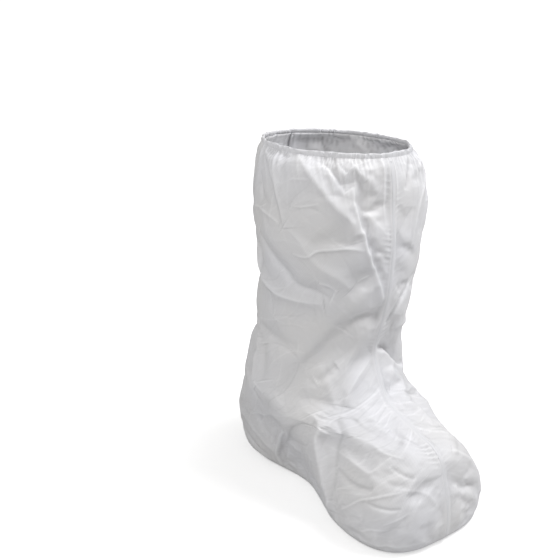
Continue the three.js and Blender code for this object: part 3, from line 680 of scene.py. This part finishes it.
def settled_move(grid, side):
    """How far each point of a panel moves when its cloth settles."""
    coarse = grid[::SETTLE_STEP, ::SETTLE_STEP]
    move = settled_cloth(coarse, side) - coarse
    length = np.linalg.norm(move, axis=2, keepdims=True)
    move *= SETTLE_REACH * np.tanh(length / SETTLE_REACH) / np.maximum(length, LEAST_LENGTH)
    move -= blurred(move)
    taller = smooth_at(move, np.arange(grid.shape[0]) / SETTLE_STEP)
    move = smooth_at(taller.swapaxes(0, 1), np.arange(grid.shape[1]) / SETTLE_STEP).swapaxes(0, 1)
    ease = math.prod(smooth_step(away, 0, SETTLE_EASE) for away in (TO_SEAM, TO_TOP, TO_FLOOR))
    return move * ease[:, :, None]


def lowest_near(height):
    """The lowest height among each point and those within one step of the inner face."""
    padded = np.pad(height, INNER_STEP, mode="edge")
    reach = 2 * INNER_STEP + 1
    rows, columns = height.shape
    shifted = [padded[r:r + rows, c:c + columns] for r in range(reach) for c in range(reach)]
    return np.min(shifted, axis=0)


def crease_shading_of(height):
    """How sharply the cloth bends, which sets its painted shade and highlight: above 0 on a ridge, below 0
    in a valley.
    """
    bend = np.zeros(height.shape)
    bend[1:-1] += np.diff(height, n=2, axis=0) / STEP_DOWN[1:].mean(axis=1, keepdims=True) ** 2
    bend[:, 1:-1] += np.diff(height, n=2, axis=1) / STEP_AROUND.mean(axis=1, keepdims=True) ** 2
    return (-bend / FULL_SHADING_BEND).clip(-1, 1)


def kept_apart(grid, side):
    """The grid with none of its points past the seam's edge."""
    grid[:, :, 0] = np.maximum(grid[:, :, 0] * side, EDGE) * side
    return grid


def in_place(points):
    """Slopes the hem, with the leg below it following less and less, and moves to the frame."""
    points = points.copy()
    share = np.clip((points[..., 2] - FOOT_HEIGHT) / (TOP_LEVEL - FOOT_HEIGHT), 0, 1)
    points[..., 2] += HEM_SLOPE * share * points[..., 1] / LEG_DEPTH
    points[..., 1] += LEG_AXIS_Y
    return points


def in_scene(name, data):
    """A new object in the scene."""
    thing = bpy.data.objects.new(name, data)
    bpy.context.scene.collection.objects.link(thing)
    return thing


def new_object(name, points, faces, uvs=None):
    """A smooth mesh object at the origin. uvs holds one pair for each point."""
    mesh = bpy.data.meshes.new(name)
    mesh.from_pydata([tuple(point) for point in points], [], faces)
    mesh.polygons.foreach_set("use_smooth", [True] * len(mesh.polygons))
    if uvs is not None:
        layer = mesh.uv_layers.new(name="cloth")
        corners = np.empty(len(mesh.loops), dtype=int)
        mesh.loops.foreach_get("vertex_index", corners)
        layer.data.foreach_set("uv", np.asarray(uvs)[corners].ravel())
    mesh.update()
    return in_scene(name, mesh)


def grid_faces(rows, columns, start=0, flip=False, rings=False, closed=False):
    """A grid's faces. rings joins the ends of each row, and closed joins the last row to the first."""
    faces = []
    for row in range(rows if closed else rows - 1):
        here = start + row * columns
        below = start + (row + 1) % rows * columns
        for column in range(columns if rings else columns - 1):
            beside = (column + 1) % columns
            face = (here + column, below + column, below + beside, here + beside)
            faces.append(face[::-1] if flip else face)
    return faces


def border_of(rows, columns, start):
    """The points round the border of a grid."""
    border = [start + row * columns for row in range(rows)]
    border += [start + (rows - 1) * columns + column for column in range(1, columns)]
    border += [start + row * columns + columns - 1 for row in range(rows - 2, -1, -1)]
    border += [start + column for column in range(columns - 2, 0, -1)]
    return border


def make_panel(name, height, side):
    """One panel: a thin wall with its outer face, its inner face and its edges closed."""
    outer = panel_grid(height, side)
    inner = panel_grid(lowest_near(height) - CLOTH_WALL, side)
    move = settled_move(outer, side)
    outer = kept_apart(outer + move, side)
    inner = kept_apart(inner + move, side)
    inner = inner[::INNER_STEP, ::INNER_STEP]
    rows, columns = outer.shape[:2]
    inner_rows, inner_columns = inner.shape[:2]
    size = rows * columns
    faces = grid_faces(rows, columns, flip=side == RIGHT)
    faces += grid_faces(inner_rows, inner_columns, start=size, flip=side == LEFT)
    outer_border = border_of(rows, columns, 0)
    inner_border = border_of(inner_rows, inner_columns, size)
    for index, here in enumerate(inner_border):
        after = inner_border[(index + 1) % len(inner_border)]
        first = index * INNER_STEP
        edge = [outer_border[(first + step) % len(outer_border)] for step in range(INNER_STEP, -1, -1)]
        face = (here, after, *edge)
        faces.append(face[::-1] if side == RIGHT else face)
    run = np.stack([RUN_AROUND, RUN_DOWN], axis=2)
    uvs = np.concatenate([run.reshape(-1, 2), run[::INNER_STEP, ::INNER_STEP].reshape(-1, 2)])
    points = np.concatenate([outer.reshape(-1, 3), inner.reshape(-1, 3)])
    panel = new_object(name, points, faces, uvs)
    # painted shade in the cloth's valleys and painted highlight on its ridges, stored for the material;
    # stronger and turned over on the inner face
    crease_shading = crease_shading_of(height)
    inner_crease_shading = -INNER_CREASE_SHADING * crease_shading[::INNER_STEP, ::INNER_STEP]
    layer = panel.data.attributes.new("crease_shading", "FLOAT", "POINT")
    layer.data.foreach_set("value", np.concatenate([crease_shading.ravel(), inner_crease_shading.ravel()]))
    return panel


def seam_path(height):
    """The seam's line in its plane: down the back, along the sole and up to the front of the mouth."""
    halves = [PLAIN[:, column] + OUTWARD[:, column] * height[:, [column]] for column in (0, COLUMNS)]
    sole_row = PLAIN[-1, 1:-1]
    line = np.concatenate([halves[0], sole_row, halves[1][::-1]])
    line[:, 0] = 0
    return line


# The seam's section in millimetres: across from its middle, and out from the cloth's outer face. Its
# cap of rolled cloth lies over both panels' edges, and its folded edges hang inside.
SEAM_CAP = (
    (-2.4, -0.30), (-1.7, 0.04), (-0.9, 0.20), (0.0, 0.24), (0.9, 0.20), (1.7, 0.04), (2.4, -0.30),
)
SEAM_EDGES = (
    (0.75, -0.30), (0.7, -2.0), (0.6, -5.4), (0.25, -6.2), (-0.25, -6.2), (-0.6, -5.4), (-0.7, -2.0),
    (-0.75, -0.30),
)
SOLE_CAP = 0.35             # share of the cap's width that is left under the sole
CAP_SWELL = 0.14            # how much the cap swells and thins between puckers
CAP_WANDER = 0.9            # how unevenly, in radians, and over what length
CAP_WANDER_LENGTH = 0.031
SEAM_UV_STEP = 0.001        # how far the cloth's pattern moves on for each corner of the section


def swept(name, paths, run, uv_step, closed=False):
    """A section swept along a line, from the paths of its corners. An open one gets end faces."""
    points = in_place(np.stack(paths, axis=1))
    count, corners = points.shape[:2]
    faces = grid_faces(count, corners, rings=True, closed=closed)
    if closed:
        # a closed one's section runs the other way round, so its faces are turned over
        faces = [face[:1] + face[:0:-1] for face in faces]
    else:
        faces.append(tuple(range(corners)))
        faces.append(tuple((count - 1) * corners + corner for corner in reversed(range(corners))))
    across = np.arange(corners)[None, :] * uv_step
    uvs = np.stack(np.broadcast_arrays(run[:, None], across), axis=2)
    return new_object(name, points.reshape(-1, 3), faces, uvs.reshape(-1, 2))


def make_seam(height):
    line = seam_path(height)
    tangent = np.gradient(line, axis=0)
    tangent /= np.linalg.norm(tangent, axis=1, keepdims=True)
    outward = np.column_stack([np.zeros(len(line)), -tangent[:, 2], tangent[:, 1]])
    proud = smooth_step(line[:, 2], 0, SOLE_RISE)
    run = run_along(line)
    wander = CAP_WANDER * np.sin(run / CAP_WANDER_LENGTH)
    swell = 1 + CAP_SWELL * np.sin(2 * math.pi * run / PUCKER_PITCH + wander)
    paths = []
    for across, out in SEAM_CAP:
        path = line + outward * (out / MM_PER_M * proud * swell)[:, None]
        path[:, 0] = across / MM_PER_M * (SOLE_CAP + (1 - SOLE_CAP) * proud)
        paths.append(path)
    for across, out in SEAM_EDGES:
        path = line + outward * out / MM_PER_M
        path[:, 0] = across / MM_PER_M
        paths.append(path)
    return swept("centre_seam_cloth", paths, run, SEAM_UV_STEP)


# The hem's section in millimetres: out from the cloth's outer face, and up from the cloth's top edge.
# A skirt that lies over the cloth's edge, and above it the roll that holds the elastic.
HEM_SECTION = (
    (0.12, -1.4), (0.20, -1.5), (0.26, 0.0), (0.32, 1.1), (0.40, 2.2), (0.40, 3.6), (0.20, 4.8),
    (-0.40, 5.5), (-1.10, 5.6), (-1.90, 4.9), (-2.20, 3.7), (-1.95, 2.3), (-1.30, 1.1), (-0.80, 0.3),
    (0.14, 0.3),
)
HEM_STEPS = 1100
HEM_PLEATS = 58             # small pleats in the roll, round the mouth
HEM_PLEAT = 0.0005          # how deep they are
HEM_LIFT = 0.0006           # how far the roll's top rises and falls
ROLL_TOP = 3.0              # millimetres up the hem where its pleats are fully deep
HEM_UV_STEP = 0.0018
# Waves round the mouth that make the pleats uneven: by how much, how many, and their shift.
# PLEAT_SHIFT is how much more they shift the pleats than the swing of their depth.
HEM_UNEVEN = ((1.1, 5, 1.1), (0.8, 11, 0), (0.5, 17, 0.4))
PLEAT_SHIFT = 2
PLEAT_SWELL = (0.55, 0.45, 9, 2.2)        # the pleats' mean depth, its swing, its waves, its shift
LIFT_SLOW = 7               # waves round the mouth in which the roll rises and falls
LIFT_QUICK = 23


def hem_loop(right_height, left_height):
    """The cloth's top edge, from the back seam along the left panel, and its outward directions."""
    points = []
    directions = []
    for height, side in ((left_height, LEFT), (right_height, RIGHT)):
        half = PLAIN[0] + OUTWARD[0] * height[0][:, None]
        half[:, 0] *= side
        outward = OUTWARD[0] * (side, 1, 1)
        points.append(half[::side])
        directions.append(outward[::side])
    return np.concatenate(points), np.concatenate(directions)


def make_hem(right_height, left_height):
    """The hem: a gathered casing that rings the mouth on top of the cloth."""
    loop, directions = hem_loop(right_height, left_height)
    closed = np.concatenate([loop, loop[:1]])
    directions = np.concatenate([directions, directions[:1]])
    run = run_along(closed)
    share = np.linspace(0, 1, HEM_STEPS, endpoint=False)
    around = share * run[-1]
    centre, outward = (
        np.column_stack([np.interp(around, run, values[:, axis]) for axis in range(3)])
        for values in (closed, directions)
    )
    outward /= np.linalg.norm(outward, axis=1, keepdims=True)
    turn = 2 * math.pi * share
    uneven = sum(much * np.sin(waves * turn + shift) for much, waves, shift in HEM_UNEVEN)
    pleat = np.sin(HEM_PLEATS * turn + PLEAT_SHIFT * uneven)
    mean, swing, waves, shift = PLEAT_SWELL
    strength = mean + swing * np.sin(waves * turn + shift + uneven)
    lift = HEM_LIFT * (np.sin(LIFT_SLOW * turn) + np.sin(LIFT_QUICK * turn + uneven)) / 2
    paths = []
    for out, up in HEM_SECTION:
        rolled = smooth_step(up, 0, ROLL_TOP)
        reach = out / MM_PER_M + HEM_PLEAT * strength * pleat * rolled * np.sign(out)
        path = centre + outward * reach[:, None]
        path[:, 2] = TOP_LEVEL + up / MM_PER_M + lift * rolled
        paths.append(path)
    return swept("top_hem_cloth", paths, around, HEM_UV_STEP, closed=True)


# Materials

PAINTED_VALLEY_SHADE = 0.86         # how dark the painted shade in a sharp valley makes the colour; a sharp ridge gets as much painted highlight
BOND_PITCH = 0.0017
BOND_TURN = math.radians(45)
BOND_UNEVEN = 0.12
BOND_EDGE = (0.18, 0.38)    # a bond's flat middle and the end of its edge, in shares of the pitch
FIBRE_DEPTH = 0.5           # share of the bump that the fibres have
FIBRES_PER_M = 900
CLOUDS_PER_M = 9            # broad patches in which the cloth's tint changes
CLOUD_RANGE = (0.35, 0.65)
COOL_WHITE = (0.742, 0.744, 0.768, 1)
WARM_WHITE = (0.766, 0.760, 0.756, 1)
BOND_TINT = (0.955, 0.955, 0.96, 1)
ROUGHNESS = (0.46, 0.62)
BUMP_STRENGTH = 0.35
BUMP_DISTANCE = 0.0002


def fill(tree, node, given):
    """Sets a node's inputs to the values given for them, or links them from the outputs given."""
    for name, value in given.items():
        if isinstance(value, bpy.types.NodeSocket):
            tree.links.new(value, node.inputs[name])
        else:
            node.inputs[name].default_value = value


def new_node(tree, kind, place, given=None, **settings):
    node = tree.nodes.new(kind)
    node.location = place
    for name, value in settings.items():
        setattr(node, name, value)
    fill(tree, node, given or {})
    return node


def worked_out(tree, place, operation, first, second):
    """The result of a Math node on two values."""
    return new_node(tree, "ShaderNodeMath", place, {0: first, 1: second}, operation=operation).outputs[0]


def ranged(tree, place, given, **settings):
    """A value moved from one range to another."""
    return new_node(tree, "ShaderNodeMapRange", place, given, **settings).outputs["Result"]


def mixed(tree, place, blend, factor, first, second):
    """The mix of two colours."""
    given = {"Factor": factor, "A": first, "B": second}
    mix = new_node(tree, "ShaderNodeMix", place, given, data_type="RGBA", blend_type=blend)
    return mix.outputs["Result"]


def bond_group():
    """The cloth's surface: fine fibres, an even point bond pressed into it, a faint tint, and painted shade
    in its valleys and painted highlight on its ridges.
    """
    tree = bpy.data.node_groups.new("bonded cloth surface", "ShaderNodeTree")
    tree.interface.new_socket("UV", in_out="INPUT", socket_type="NodeSocketVector")
    tree.interface.new_socket("Position", in_out="INPUT", socket_type="NodeSocketVector")
    for name in ("Bond pitch", "Bond depth", "Fibre depth", "Tint", "Painted crease shading"):
        tree.interface.new_socket(name, in_out="INPUT", socket_type="NodeSocketFloat")
    tree.interface.new_socket("Color", in_out="OUTPUT", socket_type="NodeSocketColor")
    tree.interface.new_socket("Height", in_out="OUTPUT", socket_type="NodeSocketFloat")
    tree.interface.new_socket("Roughness", in_out="OUTPUT", socket_type="NodeSocketFloat")
    given = new_node(tree, "NodeGroupInput", (-1200, 0)).outputs

    per_metre = worked_out(tree, (-1000, 200), "DIVIDE", 1, given["Bond pitch"])
    turned = new_node(tree, "ShaderNodeVectorRotate", (-1000, 0), {
        "Vector": given["UV"], "Angle": BOND_TURN,
    }, rotation_type="Z_AXIS")
    bonds = new_node(tree, "ShaderNodeTexVoronoi", (-780, 100), {
        "Vector": turned.outputs["Vector"], "Scale": per_metre, "Randomness": BOND_UNEVEN,
    }, feature="F1")
    round_bonds = ranged(tree, (-560, 100), {
        "Value": bonds.outputs["Distance"], "From Min": BOND_EDGE[0], "From Max": BOND_EDGE[1],
    }, interpolation_type="SMOOTHSTEP")
    fibres = new_node(tree, "ShaderNodeTexNoise", (-780, -200), {
        "Vector": given["Position"], "Scale": FIBRES_PER_M, "Detail": 5, "Roughness": 0.65,
    }).outputs["Fac"]
    bond_height = worked_out(tree, (-340, 100), "MULTIPLY", round_bonds, given["Bond depth"])
    fibre_height = worked_out(tree, (-560, -200), "MULTIPLY", fibres, given["Fibre depth"])

    clouds = new_node(tree, "ShaderNodeTexNoise", (-780, -500), {
        "Vector": given["Position"], "Scale": CLOUDS_PER_M, "Detail": 3,
    }).outputs["Fac"]
    tint = ranged(tree, (-560, -500), {
        "Value": clouds, "From Min": CLOUD_RANGE[0], "From Max": CLOUD_RANGE[1], "To Max": given["Tint"],
    })
    white = mixed(tree, (-120, -400), "MIX", tint, COOL_WHITE, WARM_WHITE)
    in_bonds = worked_out(tree, (-340, -150), "SUBTRACT", 1, round_bonds)
    bonded = mixed(tree, (150, -300), "MULTIPLY", in_bonds, white, BOND_TINT)
    # painted shade in the valleys and painted highlight on the ridges, multiplied into the colour
    painted_crease_shading = ranged(tree, (150, -100), {
        "Value": given["Painted crease shading"], "From Min": -1, "To Min": PAINTED_VALLEY_SHADE, "To Max": 2 - PAINTED_VALLEY_SHADE,
    })
    new_node(tree, "NodeGroupOutput", (700, 0), {
        "Color": mixed(tree, (400, -300), "MULTIPLY", 1, bonded, painted_crease_shading),
        "Height": worked_out(tree, (-120, 0), "ADD", bond_height, fibre_height),
        "Roughness": ranged(tree, (150, -600), {
            "Value": fibres, "To Min": ROUGHNESS[0], "To Max": ROUGHNESS[1],
        }),
    })
    return tree


def cloth_material(name, surface, bond_depth, tint):
    material = bpy.data.materials.new(name)
    material.use_nodes = True
    tree = material.node_tree
    place = new_node(tree, "ShaderNodeTexCoord", (-900, 0)).outputs
    # the painted crease shade and highlight that the panels carry
    crease_shading = new_node(tree, "ShaderNodeAttribute", (-900, -300), attribute_name="crease_shading")
    cloth = new_node(tree, "ShaderNodeGroup", (-600, 0), {
        "UV": place["UV"],
        "Position": place["Object"],
        "Bond pitch": BOND_PITCH,
        "Bond depth": bond_depth,
        "Fibre depth": FIBRE_DEPTH,
        "Tint": tint,
        "Painted crease shading": crease_shading.outputs["Fac"],
    }, node_tree=surface)
    bump = new_node(tree, "ShaderNodeBump", (-300, -200), {
        "Height": cloth.outputs["Height"], "Strength": BUMP_STRENGTH, "Distance": BUMP_DISTANCE,
    })
    fill(tree, tree.nodes["Principled BSDF"], {
        "Base Color": cloth.outputs["Color"],
        "Roughness": cloth.outputs["Roughness"],
        "Normal": bump.outputs["Normal"],
        "Sheen Weight": 0.12,
        "Sheen Roughness": 0.5,
        "Specular IOR Level": 0.35,
    })
    return material


# Light: what the room gives, how bright the room and the floor show behind the cover
ROOM_LIGHT = 0.39
ROOM_SEEN = 1.1
ROOM_COLOUR = (1.0, 0.998, 0.985, 1)
FLOOR_GREY = 0.62
# the floor's painted glow near the cover, seen only by the camera, which shows it white and pales the
# shadows on it
FLOOR_GLOW = 0.55
GLOW_START = 0.14           # from so far off its middle outwards the floor's painted glow grows, washing out the cover's cast shadow further off
GLOW_END = 0.44
FLOOR_SIZE = 14
LIGHT_DISTANCE = 1.7
# Each light's direction in shares of the camera's right, of straight up and of the camera's
# backward direction, its size in metres, its power in watts and its colour
LIGHT_COLUMNS = ("name", "right", "up", "back", "size", "power", "colour")
LIGHTS = (
    ("key", 0.9, 1.2, 0.1, 0.8, 20, (0.98, 0.98, 1.0)),
    ("side", -0.8, 0.8, 1.0, 0.6, 9, (1.0, 0.99, 0.985)),
)

# The photograph's camera, fitted to the cover's outline
CAMERA_AZIMUTH = math.radians(-40)
CAMERA_DISTANCE = 0.950     # level, from the leg's axis
CAMERA_HEIGHT = 0.560
CAMERA_YAW = math.radians(3.9)
CAMERA_PITCH = math.radians(17.54)
CAMERA_ROLL = math.radians(1.54)
PICTURE_PIXELS = 560
FOCAL_PIXELS = 757.4
SENSOR = 36.0


def floor_material():
    """A plain grey floor with a painted glow that only the camera sees: it shows white, and the glow pales
    the soft shadows on it more and more away from the cover.
    """
    material = bpy.data.materials.new("glowing floor")
    material.use_nodes = True
    tree = material.node_tree
    seen = new_node(tree, "ShaderNodeLightPath", (-500, 0)).outputs["Is Camera Ray"]
    place = new_node(tree, "ShaderNodeTexCoord", (-1100, -200)).outputs["Object"]
    away = new_node(tree, "ShaderNodeVectorMath", (-900, -200), {0: place}, operation="LENGTH")
    painted_glow = ranged(tree, (-700, -200), {
        "Value": away.outputs["Value"],
        "From Min": GLOW_START,
        "From Max": GLOW_END,
        "To Min": FLOOR_GLOW,
        "To Max": 1.0,
    }, interpolation_type="SMOOTHSTEP")
    fill(tree, tree.nodes["Principled BSDF"], {
        "Base Color": (FLOOR_GREY, FLOOR_GREY, FLOOR_GREY, 1),
        "Roughness": 0.9,
        "Emission Color": (1, 1, 1, 1),
        "Emission Strength": worked_out(tree, (-300, 0), "MULTIPLY", seen, painted_glow),
    })
    return material


def view_axes():
    """The camera's right, up and forward directions."""
    ahead = Vector((-math.sin(CAMERA_AZIMUTH), math.cos(CAMERA_AZIMUTH), 0))
    beside = Vector((math.cos(CAMERA_AZIMUTH), math.sin(CAMERA_AZIMUTH), 0))
    level_ahead = ahead * math.cos(CAMERA_YAW) - beside * math.sin(CAMERA_YAW)
    level_right = beside * math.cos(CAMERA_YAW) + ahead * math.sin(CAMERA_YAW)
    above = Vector((0, 0, 1))
    forward = level_ahead * math.cos(CAMERA_PITCH) - above * math.sin(CAMERA_PITCH)
    upright = level_ahead * math.sin(CAMERA_PITCH) + above * math.cos(CAMERA_PITCH)
    right = level_right * math.cos(CAMERA_ROLL) + upright * math.sin(CAMERA_ROLL)
    up = upright * math.cos(CAMERA_ROLL) - level_right * math.sin(CAMERA_ROLL)
    return right, up, forward


def make_camera():
    data = bpy.data.cameras.new("camera")
    data.sensor_width = SENSOR
    data.lens = SENSOR * FOCAL_PIXELS / PICTURE_PIXELS
    camera = in_scene("camera", data)
    right, up, forward = view_axes()
    turn = Matrix((right, up, -forward)).transposed()
    camera.matrix_world = turn.to_4x4()
    camera.location = (
        math.sin(CAMERA_AZIMUTH) * CAMERA_DISTANCE,
        LEG_AXIS_Y - math.cos(CAMERA_AZIMUTH) * CAMERA_DISTANCE,
        CAMERA_HEIGHT,
    )
    bpy.context.scene.camera = camera


def make_light(light):
    """A soft square light that shines on the middle of the cover."""
    data = bpy.data.lights.new(light["name"], "AREA")
    data.shape = "SQUARE"
    data.size = light["size"]
    data.energy = light["power"]
    data.color = light["colour"]
    lamp = in_scene(light["name"], data)
    right, up, forward = view_axes()
    above = Vector((0, 0, 1))
    direction = (right * light["right"] + above * light["up"] - forward * light["back"]).normalized()
    lamp.location = direction * LIGHT_DISTANCE + Vector((0, 0, COVER_HEIGHT / 2))
    lamp.rotation_euler = direction.to_track_quat("Z", "Y").to_euler()


def make_studio():
    for light in rows_of(LIGHT_COLUMNS, LIGHTS):
        make_light(light)
    world = bpy.data.worlds.new("studio")
    world.use_nodes = True
    tree = world.node_tree
    seen = new_node(tree, "ShaderNodeLightPath", (-600, 0)).outputs["Is Camera Ray"]
    fill(tree, tree.nodes["Background"], {
        "Color": ROOM_COLOUR,
        "Strength": ranged(tree, (-300, 0), {"Value": seen, "To Min": ROOM_LIGHT, "To Max": ROOM_SEEN}),
    })
    bpy.context.scene.world = world
    bpy.context.scene.view_settings.view_transform = "Standard"
    bpy.ops.mesh.primitive_plane_add(size=FLOOR_SIZE)
    floor = bpy.context.object
    floor.name = "floor"
    floor.data.materials.append(floor_material())


make_camera()
make_studio()

surface = bond_group()
panel_cloth = cloth_material("bonded cloth", surface, bond_depth=0.5, tint=0.8)
seam_cloth = cloth_material("seam cloth", surface, bond_depth=0.2, tint=0.4)
hem_cloth = cloth_material("hem cloth", surface, bond_depth=0.4, tint=0.4)

right_height = panel_height(RIGHT_FOLDS, RIGHT)
left_height = panel_height(LEFT_FOLDS, LEFT)
right_panel = make_panel("right_panel_cloth", right_height, RIGHT)
left_panel = make_panel("left_panel_cloth", left_height, LEFT)
seam = make_seam(left_height)
hem = make_hem(right_height, left_height)
for piece, finish, slot, node in (
    (right_panel, panel_cloth, "cloth", "right_panel"),
    (left_panel, panel_cloth, "cloth", "left_panel"),
    (seam, seam_cloth, "seam", "centre_seam"),
    (hem, hem_cloth, "hem", "top_hem"),
):
    piece.data.materials.append(finish)
    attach(piece, "root")
    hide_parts(node)
